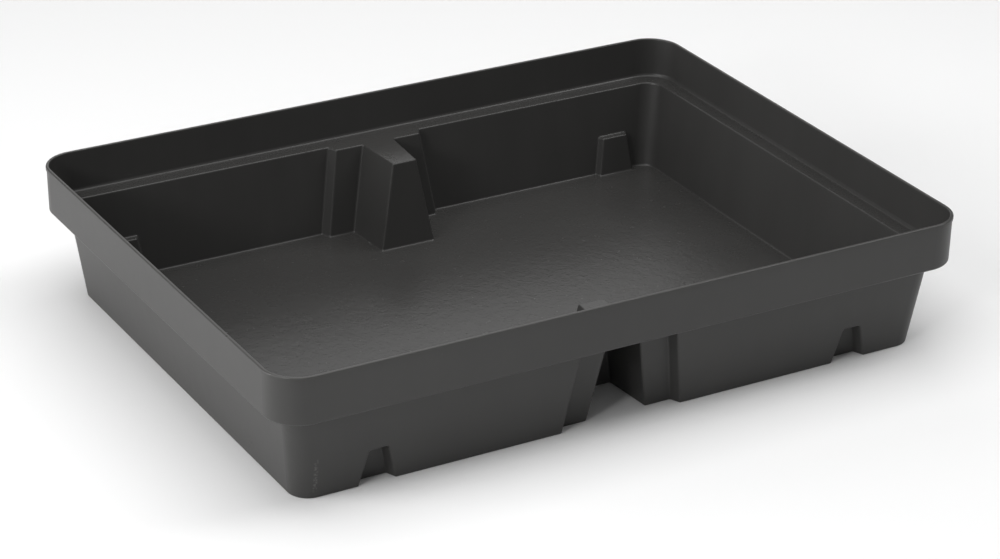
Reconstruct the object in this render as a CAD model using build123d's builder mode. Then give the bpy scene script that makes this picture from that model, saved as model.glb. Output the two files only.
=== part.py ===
"""Small spill containment tray: one black polyethylene moulding, held as its moulded zones.

Frame: origin at the middle of the base on the floor, +X along the length, +Y to the back, +Z up.
The whole moulding is shaped first, as an outer body less a cavity, and is then divided into zones
that meet face to face. Insets are measured inwards from the outside of the rim lip.
"""

import os

from build123d import *

os.makedirs("parts", exist_ok=True)

# Size over the rim lip
LENGTH = 812.0
WIDTH = 612.0
HEIGHT = 154.0

# Moulded thickness
WALL = 3.5
FLOOR = 4.5
RIM_WALL = 3.0

# Rim: an upright band with a small bead round its top
RIM_RADIUS = 39.5
LIP_HEIGHT = 4.0
LIP_REACH = 0.8
BAND_DRAFT = 0.6

# Ledge that carries a removable grid, and the sump below it
LEDGE_TOP = 106.0
STEP_UNDERSIDE = 101.0
BASE_INSET = 34.0
STEP_INSET = 21.5
SUMP_RADIUS = 22.5

# Middle of each long side, outside: a wide shallow saddle and a deep narrow pillar,
# each as (distance of its face from the middle, half width of its face), at the base and the step
SADDLE_LOW = (260.5, 66.5)
SADDLE_HIGH = (273.0, 51.0)
SADDLE_FLARE = 0.45
PILLAR_LOW = (198.5, 31.0)
PILLAR_HIGH = (207.5, 12.5)
PILLAR_FLARE = 0.07

# Foot pockets, outside: middle along X, height, and the face's distance and half width as above,
# at the base and at the pocket's top
FRONT_POCKET = (284.0, 40.0, (260.0, 16.0), (266.5, 6.5))
BACK_POCKET = (320.5, 46.5, (264.5, 19.5), (270.0, 13.0))
POCKET_FLARE = 0.42

# Rounded edges
BASE_EDGE = 2.0
BAND_EDGE = 2.5
STEP_CORNER = 2.5
LIP_EDGE = 1.6
LIP_INNER_EDGE = 1.0
BAY_EDGE = 2.5
POCKET_EDGE = 2.0
LEDGE_CORNER = 4.0
LEDGE_EDGE = 2.0

# Where the moulding is divided: heights, and distances from the middle
LEDGE_CUT_LOW = 95.0
LEDGE_CUT_HIGH = 113.0
LIP_CUT = HEIGHT - LIP_HEIGHT - 2.5
SADDLE_ZONE_HALF = 80.0
SADDLE_TOP_END = 279.5
PILLAR_ZONE_HALF = 60.0
PILLAR_ZONE_START = 191.0
POCKET_ZONE_SPARE = 11.5
POCKET_ZONE_RISE = 10.0
WALL_ZONE_START = 250.0
END_ZONE_START = 352.0

# Leaning edges further out than this are the seams of the rounded corners
CORNER_SEAM = 352.0


def sump_inset(height):
    """Inset of the sump wall's outer face at a height."""
    return BASE_INSET - (BASE_INSET - STEP_INSET) * height / STEP_UNDERSIDE


def tier(low, high):
    """Straight tier between two levels, each (height, inset, corner radius)."""
    with BuildPart() as block:
        for height, inset, radius in (low, high):
            with BuildSketch(Plane.XY.offset(height)):
                RectangleRounded(LENGTH - 2 * inset, WIDTH - 2 * inset, radius)
        loft(ruled=True)
    return block.part


def bay(bottom, top, low, high, flare, middle=0.0, wall=0.0):
    """Wedge let into the front wall from bottom to top, by the wall thickness larger all round.

    low and high are (face distance, half width) at the base and at the underside of the step.
    """
    mouth = WIDTH / 2
    with BuildPart() as wedge:
        for height in (bottom, top):
            share = height / STEP_UNDERSIDE
            face = low[0] + (high[0] - low[0]) * share - wall
            half = low[1] + (high[1] - low[1]) * share + wall
            outer = half + flare * (mouth - face)
            corners = [(-outer, -mouth), (outer, -mouth), (half, -face), (-half, -face)]
            with BuildSketch(Plane.XY.offset(height)):
                with Locations((middle, 0)):
                    Polygon(*corners, align=None)
        loft(ruled=True)
    return wedge.part


def pocket(side, shape, wall=0.0):
    """Foot pocket in the front wall on one side of the middle, about half as high as the sump."""
    middle, height, low, top = shape
    rise = STEP_UNDERSIDE / height
    high = (low[0] + (top[0] - low[0]) * rise, low[1] + (top[1] - low[1]) * rise)
    bottom = FLOOR if wall else 0.0
    return bay(bottom, height + wall, low, high, POCKET_FLARE, side * middle, wall)


def bays(wall=0.0):
    """Every bay: outside with no wall, or as it stands up inside the sump with the wall added."""
    bottom = FLOOR if wall else 0.0
    top = LEDGE_TOP if wall else STEP_UNDERSIDE
    saddle = bay(bottom, top, SADDLE_LOW, SADDLE_HIGH, SADDLE_FLARE, wall=wall)
    pillar = bay(bottom, top, PILLAR_LOW, PILLAR_HIGH, PILLAR_FLARE, wall=wall)
    shapes = [saddle, pillar, mirror(saddle, about=Plane.XZ), mirror(pillar, about=Plane.XZ)]
    for side in (-1, 1):
        shapes.append(pocket(side, FRONT_POCKET, wall))
        shapes.append(mirror(pocket(side, BACK_POCKET, wall), about=Plane.XZ))
    return shapes


def leaning(body):
    """Leaning edges of the bays on a body, without the seams at the body's own corners."""
    return [e for e in body.edges() if e.bounding_box().size.Z > 5 and abs(e.center().X) < CORNER_SEAM]


def level(body, height):
    """Edges that lie flat at a height."""
    return [e for e in body.edges().filter_by_position(Axis.Z, height - 0.01, height + 0.01)
            if e.bounding_box().size.Z < 0.02]


def is_sump(edge):
    """Whether an edge belongs to the sump rather than to the rim band."""
    middle = edge.center()
    return abs(middle.X) < LENGTH / 2 - STEP_INSET * 0.8 and abs(middle.Y) < WIDTH / 2 - STEP_INSET * 0.8


def is_inside_rim(edge):
    """Whether an edge round the top of the rim is the one next to the hollow."""
    box = edge.bounding_box()
    reach_x = max(abs(box.min.X), abs(box.max.X))
    reach_y = max(abs(box.min.Y), abs(box.max.Y))
    limit = LIP_REACH + RIM_WALL * 0.7
    return reach_x < LENGTH / 2 - limit and reach_y < WIDTH / 2 - limit


def pocket_tops(body, wall=0.0):
    """Edges round the tops of the foot pockets, without those that run out into the sump wall."""
    heights = (FRONT_POCKET[1], BACK_POCKET[1])
    edges = [e for height in heights for e in level(body, height + wall)]
    run_out = WIDTH / 2 - sump_inset(min(heights)) - wall - 1
    return [e for e in edges if abs(e.center().Y) < run_out]


def cut_box(x_range, y_range, z_range):
    """Box between two corners, for taking a zone out of the moulding."""
    with BuildPart() as box:
        with BuildSketch(Plane.XY.offset(z_range[0])):
            with Locations((sum(x_range) / 2, sum(y_range) / 2)):
                Rectangle(x_range[1] - x_range[0], y_range[1] - y_range[0])
        extrude(amount=z_range[1] - z_range[0])
    return box.part


# The whole shape outside, without its hollow
outside_bays = bays()
sump_body = tier((0, BASE_INSET, SUMP_RADIUS), (STEP_UNDERSIDE, STEP_INSET, SUMP_RADIUS))
band_inset = LIP_REACH + BAND_DRAFT
band_radius = RIM_RADIUS - LIP_REACH
band_body = tier((STEP_UNDERSIDE, band_inset, band_radius), (HEIGHT, LIP_REACH, band_radius))
lip_body = tier((HEIGHT - LIP_HEIGHT, 0, RIM_RADIUS), (HEIGHT, 0, RIM_RADIUS))
with BuildPart() as outer:
    add(sump_body)
    add(outside_bays, mode=Mode.SUBTRACT)
    add(band_body)
    add(lip_body)
    fillet(pocket_tops(outer), POCKET_EDGE)
    fillet(leaning(outer), BAY_EDGE)
    fillet(level(outer, 0), BASE_EDGE)
    fillet([e for e in level(outer, STEP_UNDERSIDE) if not is_sump(e)], BAND_EDGE)
    fillet([e for e in level(outer, STEP_UNDERSIDE) if is_sump(e)], STEP_CORNER)
    fillet(level(outer, HEIGHT), LIP_EDGE)

# The hollow, which stands proud of the rim so that the top is open
inside_bays = bays(WALL)
sump_hollow = tier(
    (FLOOR, sump_inset(FLOOR) + WALL, SUMP_RADIUS - WALL),
    (LEDGE_TOP, sump_inset(LEDGE_TOP) + WALL, SUMP_RADIUS - WALL),
)
band_hollow = tier(
    (LEDGE_TOP, band_inset + RIM_WALL, band_radius - RIM_WALL),
    (HEIGHT + 1, LIP_REACH + RIM_WALL, band_radius - RIM_WALL),
)
with BuildPart() as cavity:
    add(sump_hollow)
    add(inside_bays, mode=Mode.SUBTRACT)
    add(band_hollow)
    fillet(pocket_tops(cavity, WALL), POCKET_EDGE)
    fillet(leaning(cavity), BAY_EDGE)
    fillet(level(cavity, FLOOR), BAY_EDGE)
    fillet([e for e in level(cavity, LEDGE_TOP) if not is_sump(e)], LEDGE_CORNER)
    fillet([e for e in level(cavity, LEDGE_TOP) if is_sump(e)], LEDGE_EDGE)

with BuildPart() as moulding:
    add(outer.part)
    add(cavity.part, mode=Mode.SUBTRACT)
    fillet([e for e in level(moulding, HEIGHT) if is_inside_rim(e)], LIP_INNER_EDGE)


def slab(low, high):
    """The moulding between two heights."""
    with BuildPart() as piece:
        add(moulding.part)
        split(bisect_by=Plane.XY.offset(low), keep=Keep.TOP)
        split(bisect_by=Plane.XY.offset(high), keep=Keep.BOTTOM)
    return piece.part


def write(piece, name):
    """Label a finished zone and write its STEP file."""
    piece.label = name
    export_step(piece, f"parts/{name}.step")


def take(body, boxes):
    """The part of a body inside a group of boxes."""
    with BuildPart() as group:
        add(boxes)
    with BuildPart() as taken:
        add(body)
        add(group.part, mode=Mode.INTERSECT)
    return taken.part


# Zones of the rim
write(slab(LIP_CUT, HEIGHT), "rim_lip")
write(slab(LEDGE_CUT_HIGH, LIP_CUT), "rim_band")

# Boxes round the features of the long sides, and for the plain walls beside them
middle_heights = (0, LEDGE_CUT_HIGH)
wall_heights = (0, LEDGE_CUT_LOW)
pillar_width = (-PILLAR_ZONE_HALF, PILLAR_ZONE_HALF)
saddle_width = (-SADDLE_ZONE_HALF, SADDLE_ZONE_HALF)
features = {}
plain = {}
for side, face_name, shape in ((-1, "front", FRONT_POCKET), (1, "back", BACK_POCKET)):
    pillar_depth = sorted((side * PILLAR_ZONE_START, side * WALL_ZONE_START))
    top_depth = sorted((side * WALL_ZONE_START, side * SADDLE_TOP_END))
    wall_depth = sorted((side * WALL_ZONE_START, side * WIDTH / 2))
    features[f"grid_pillar_{face_name}"] = [cut_box(pillar_width, pillar_depth, middle_heights)]
    features[f"pillar_saddle_{face_name}"] = [
        cut_box(saddle_width, top_depth, middle_heights),
        cut_box(saddle_width, wall_depth, wall_heights),
    ]
    middle, height, low, _ = shape
    reach = low[1] + POCKET_ZONE_SPARE
    for hand, hand_name in ((-1, "left"), (1, "right")):
        pocket_width = (hand * middle - reach, hand * middle + reach)
        pocket_heights = (0, height + POCKET_ZONE_RISE)
        wall_width = sorted((0, hand * END_ZONE_START))
        features[f"foot_pocket_{face_name}_{hand_name}"] = [cut_box(pocket_width, wall_depth, pocket_heights)]
        plain[f"sump_wall_{face_name}_{hand_name}"] = [cut_box(wall_width, wall_depth, wall_heights)]

# Boxes for the two ends with their corners, and for the flat floor between all the walls
whole_width = (-WIDTH / 2, WIDTH / 2)
plain["sump_end_left"] = [cut_box((-LENGTH / 2, -END_ZONE_START), whole_width, wall_heights)]
plain["sump_end_right"] = [cut_box((END_ZONE_START, LENGTH / 2), whole_width, wall_heights)]
floor_length = (-END_ZONE_START, END_ZONE_START)
floor_width = (-WALL_ZONE_START, WALL_ZONE_START)
plain["sump_floor"] = [cut_box(floor_length, floor_width, wall_heights)]

# The features come out of the moulding first, and the ledge and the plain zones out of what is left
below_band = slab(0, LEDGE_CUT_HIGH)
with BuildPart() as remainder:
    add(below_band)
    add([box for boxes in features.values() for box in boxes], mode=Mode.SUBTRACT)
for name, boxes in features.items():
    write(take(below_band, boxes), name)
for name, boxes in plain.items():
    write(take(remainder.part, boxes), name)
with BuildPart() as grid_ledge:
    add(remainder.part)
    split(bisect_by=Plane.XY.offset(LEDGE_CUT_LOW), keep=Keep.TOP)
write(grid_ledge.part, "grid_ledge")

print("moulding", round(moulding.part.volume), "cubic millimetres")
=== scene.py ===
"""Looks of the black polyethylene sump tray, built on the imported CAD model. Metres, +Z up."""

import math

import bpy
from mathutils import Matrix, Vector


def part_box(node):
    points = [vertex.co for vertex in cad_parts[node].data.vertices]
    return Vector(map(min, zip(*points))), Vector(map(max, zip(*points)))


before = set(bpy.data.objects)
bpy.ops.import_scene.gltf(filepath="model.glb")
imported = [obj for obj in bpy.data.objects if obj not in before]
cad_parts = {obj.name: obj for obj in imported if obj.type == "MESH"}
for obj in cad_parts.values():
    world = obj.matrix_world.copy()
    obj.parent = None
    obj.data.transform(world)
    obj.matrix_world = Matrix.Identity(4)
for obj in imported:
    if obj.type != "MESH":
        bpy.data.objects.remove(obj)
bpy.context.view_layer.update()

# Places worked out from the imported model
RIM_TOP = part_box("rim_lip")[1].z
LEDGE_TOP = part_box("grid_pillar_front")[1].z
FRONT_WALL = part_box("foot_pocket_front_left")[0].y + 0.006
RUB_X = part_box("foot_pocket_front_left")[0].x - 0.042

# Tones of the plastic, from its darkest to its palest, and where it is worn or dusty; the palest is
# also painted on surfaces facing up as light from above, and the worn tone along the top of the rim
# as a painted highlight
DARK_TONE = (0.0310, 0.0305, 0.0295, 1)
PALE_TONE = (0.0540, 0.0530, 0.0512, 1)
WORN_AND_HIGHLIGHT_TONE = (0.15, 0.147, 0.142, 1)

# The studio: tone of its floor, strength of its white surround, and where its lights aim
FLOOR_TONE = (0.93, 0.93, 0.93, 1)
SURROUND_STRENGTH = 0.15
LIGHT_TARGET = Vector((0, 0, 0.08))

# Square lights: name, place, side and power in watts
SOFTBOXES = (
    ("overhead_softbox", (0.0, 0.0, 3.0), 3.0, 58),
    ("front_softbox", (-0.8, -3.4, 2.6), 2.0, 5),
    ("left_softbox", (-2.6, -0.6, 1.9), 1.6, 29),
    ("front_left_softbox", (-3.0, -1.7, 1.6), 0.5, 18),
    ("low_left_softbox", (-2.6, 0.7, 0.45), 1.0, 33),
    ("right_softbox", (2.4, -0.7, 2.8), 1.6, 34),
    ("back_softbox", (1.2, 3.0, 2.2), 2.0, 12),
)

# Camera: a long lens from the front left, looking down into the tray
CAMERA_PLACE = (-1.5365, -2.6884, 1.5270)
CAMERA_TURN = 29.90
CAMERA_DOWN = 25.59
CAMERA_ROLL = 0.83
CAMERA_LENS = 112.96
CAMERA_SENSOR = 36.0


class Material:
    """A node material with short helpers for building its graph."""

    def __init__(self, name):
        self.material = bpy.data.materials.new(name)
        self.material.use_nodes = True
        self.tree = self.material.node_tree
        self.shader = self.tree.nodes["Principled BSDF"]

    def node(self, kind, **inputs):
        """Add a node, with values or links for its inputs by name."""
        made = self.tree.nodes.new(kind)
        for name, value in inputs.items():
            self.feed(made.inputs[name.replace("_", " ")], value)
        return made

    def feed(self, socket, value):
        """Give a socket a value or a link."""
        if isinstance(value, bpy.types.NodeSocket):
            self.tree.links.new(value, socket)
        else:
            socket.default_value = value

    def math(self, operation, *values, clamp=False):
        """A Math node's result."""
        made = self.tree.nodes.new("ShaderNodeMath")
        made.operation = operation
        made.use_clamp = clamp
        for socket, value in zip(made.inputs, values):
            self.feed(socket, value)
        return made.outputs[0]

    def ramp(self, value, low, high, start=0.0, end=1.0):
        """A smooth step of a value from low to high, given as start to end."""
        made = self.tree.nodes.new("ShaderNodeMapRange")
        made.interpolation_type = "SMOOTHSTEP"
        limits = {"From Min": low, "From Max": high, "To Min": start, "To Max": end}
        for name, number in limits.items():
            made.inputs[name].default_value = number
        self.feed(made.inputs["Value"], value)
        return made.outputs["Result"]

    def noise(self, place, scale, detail=2.0, roughness=0.5):
        """Noise at a scale in cycles per metre."""
        settings = {"Vector": place, "Scale": scale, "Detail": detail, "Roughness": roughness}
        return self.node("ShaderNodeTexNoise", **settings).outputs["Fac"]

    def mixed(self, amount, first, second):
        """A colour between two, each a colour or a link."""
        made = self.tree.nodes.new("ShaderNodeMix")
        made.data_type = "RGBA"
        self.feed(made.inputs["Factor"], amount)
        self.feed(made.inputs["A"], first)
        self.feed(made.inputs["B"], second)
        return made.outputs["Result"]

    def stretched(self, place, scale):
        """A place scaled differently along each axis."""
        made = self.tree.nodes.new("ShaderNodeVectorMath")
        made.operation = "MULTIPLY"
        self.feed(made.inputs[0], place)
        made.inputs[1].default_value = scale
        return made.outputs[0]


def black_polyethylene():
    """Moulded black polyethylene: fine grain, a pebble-grained inside, flow marks and light scuffs,
    with painted light on surfaces facing up and a painted highlight along the top of the rim.
    """
    m = Material("black_polyethylene")
    place = m.tree.nodes.new("ShaderNodeTexCoord").outputs["Object"]
    geometry = m.tree.nodes.new("ShaderNodeNewGeometry")
    split_place = m.node("ShaderNodeSeparateXYZ", Vector=place).outputs
    split_normal = m.node("ShaderNodeSeparateXYZ", Vector=geometry.outputs["Normal"]).outputs
    height = split_place["Z"]

    # Where the surface is a pebble-grained one that faces up (painted paler there too, as light from
    # above), an upright wall, and the top of the lip, where a highlight is painted
    facing_up = m.ramp(split_normal["Z"], 0.80, 0.98)
    below_band = m.ramp(height, LEDGE_TOP + 0.006, LEDGE_TOP + 0.002)
    pebbled_and_top_lit = m.math("MULTIPLY", facing_up, below_band)
    upright = m.ramp(m.math("ABSOLUTE", split_normal["Z"]), 0.5, 0.2)
    lip_highlight = m.ramp(height, RIM_TOP - 0.0020, RIM_TOP - 0.0003)

    # Slow changes of tone, flow marks that run up the walls, small scuffs, dust and a rub mark
    cloud = m.noise(place, 5.0, 3.0)
    flow = m.noise(m.stretched(place, (38.0, 38.0, 2.4)), 1.0, 3.0, 0.6)
    scuff = m.ramp(m.noise(m.stretched(place, (90.0, 90.0, 260.0)), 1.0, 4.0, 0.65), 0.66, 0.76)
    dust = m.math("MULTIPLY", m.ramp(m.noise(place, 420.0, 1.0), 0.72, 0.80), pebbled_and_top_lit)
    dots = m.ramp(m.noise(place, 330.0, 2.0), 0.46, 0.60)
    rub = m.math("MULTIPLY", rub_mark(m, split_place), dots)

    flow_marks = m.math("MULTIPLY", m.math("MULTIPLY", flow, upright), 0.30)
    amount = m.math("ADD", m.math("MULTIPLY", cloud, 0.50), flow_marks)
    # Surfaces facing up painted paler, as light from above falls on them
    amount = m.math("ADD", amount, m.math("MULTIPLY", pebbled_and_top_lit, 0.30))
    tone = m.mixed(amount, DARK_TONE, PALE_TONE)
    # Scuffs, dust and the rub mark are real wear; the paler top of the lip is a painted highlight
    wear_and_lip_highlight = m.math("ADD", m.math("MULTIPLY", scuff, 0.10), m.math("MULTIPLY", lip_highlight, 0.16))
    wear_and_lip_highlight = m.math("ADD", wear_and_lip_highlight, m.math("MULTIPLY", dust, 0.18))
    wear_and_lip_highlight = m.math("ADD", wear_and_lip_highlight, m.math("MULTIPLY", rub, 0.45), clamp=True)
    m.feed(m.shader.inputs["Base Color"], m.mixed(wear_and_lip_highlight, tone, WORN_AND_HIGHLIGHT_TONE))

    # Satin gloss, duller on the walls and on scuffs and a little glossier on the pebbles
    gloss = m.math("ADD", m.math("MULTIPLY", cloud, 0.08), 0.23)
    gloss = m.math("ADD", gloss, m.math("MULTIPLY", flow, 0.03))
    gloss = m.math("ADD", gloss, m.math("MULTIPLY", pebbled_and_top_lit, -0.02))
    gloss = m.math("ADD", gloss, m.math("MULTIPLY", upright, 0.14))
    gloss = m.math("ADD", gloss, m.math("MULTIPLY", scuff, 0.15), clamp=True)
    m.feed(m.shader.inputs["Roughness"], gloss)

    # Fine grain and slow ripples everywhere, and pebbles of two sizes where the inside faces up
    small_pebbles = m.math("MULTIPLY", m.noise(place, 340.0, 2.0), 0.9)
    pebbles = m.math("ADD", m.noise(place, 110.0, 2.0), small_pebbles)
    relief = m.math("MULTIPLY", m.math("MULTIPLY", pebbles, pebbled_and_top_lit), 1.2)
    relief = m.math("ADD", relief, m.math("MULTIPLY", m.noise(place, 1100.0, 2.0, 0.6), 0.15))
    relief = m.math("ADD", relief, m.math("MULTIPLY", m.noise(place, 30.0, 2.0), 0.9))
    bump = m.node("ShaderNodeBump", Strength=0.35, Distance=0.0006, Height=relief)
    m.feed(m.shader.inputs["Normal"], bump.outputs["Normal"])
    m.shader.inputs["IOR"].default_value = 1.51
    m.shader.inputs["Specular IOR Level"].default_value = 0.38
    return m.material


def rub_mark(m, split_place):
    """A short upright rub mark low on the front, just before its left corner."""
    across = m.math("ABSOLUTE", m.math("SUBTRACT", split_place["X"], RUB_X))
    stripe = m.ramp(across, 0.0030, 0.0012)
    low = m.ramp(split_place["Z"], 0.006, 0.010)
    high = m.ramp(split_place["Z"], 0.048, 0.042)
    front = m.ramp(split_place["Y"], FRONT_WALL + 0.004, FRONT_WALL)
    return m.math("MULTIPLY", m.math("MULTIPLY", stripe, front), m.math("MULTIPLY", low, high))


def studio_floor():
    """Plain pale floor under the tray."""
    bpy.ops.mesh.primitive_plane_add(size=14, location=(0, 0, 0))
    plane = bpy.context.object
    plane.name = "studio_floor"
    m = Material("pale_floor")
    m.shader.inputs["Base Color"].default_value = FLOOR_TONE
    m.shader.inputs["Roughness"].default_value = 0.9
    plane.data.materials.append(m.material)


def softbox(name, place, size, power):
    """Square area light aimed at the middle of the tray."""
    light = bpy.data.lights.new(name, "AREA")
    light.size = size
    light.energy = power
    lamp = bpy.data.objects.new(name, light)
    lamp.location = place
    lamp.rotation_euler = (LIGHT_TARGET - Vector(place)).to_track_quat("-Z", "Y").to_euler()
    bpy.context.scene.collection.objects.link(lamp)


def studio_light():
    """Soft studio light: a broad box overhead, three at the left, one at the right, two weak ones."""
    world = bpy.data.worlds.new("pale_surround")
    world.use_nodes = True
    background = world.node_tree.nodes["Background"].inputs
    background["Color"].default_value = (1, 1, 1, 1)
    background["Strength"].default_value = SURROUND_STRENGTH
    bpy.context.scene.world = world
    for name, place, size, power in SOFTBOXES:
        softbox(name, place, size, power)


def camera():
    """The camera of the main view."""
    data = bpy.data.cameras.new("main_camera")
    data.lens = CAMERA_LENS
    data.sensor_width = CAMERA_SENSOR
    item = bpy.data.objects.new("main_camera", data)
    turn = Matrix.Rotation(math.radians(-CAMERA_TURN), 4, "Z")
    tip = Matrix.Rotation(math.radians(90 - CAMERA_DOWN), 4, "X")
    roll = Matrix.Rotation(math.radians(CAMERA_ROLL), 4, "Z")
    item.matrix_world = Matrix.Translation(CAMERA_PLACE) @ turn @ tip @ roll
    bpy.context.scene.collection.objects.link(item)
    bpy.context.scene.camera = item


def finish_nodes():
    """Give every CAD node the moulding's finish and smooth shading up to its creases."""
    plastic = black_polyethylene()
    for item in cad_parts.values():
        item.data.materials.clear()
        item.data.materials.append(plastic)
        item.data.shade_smooth()


camera()
studio_floor()
studio_light()
finish_nodes()
bpy.context.scene.view_settings.view_transform = "Standard"
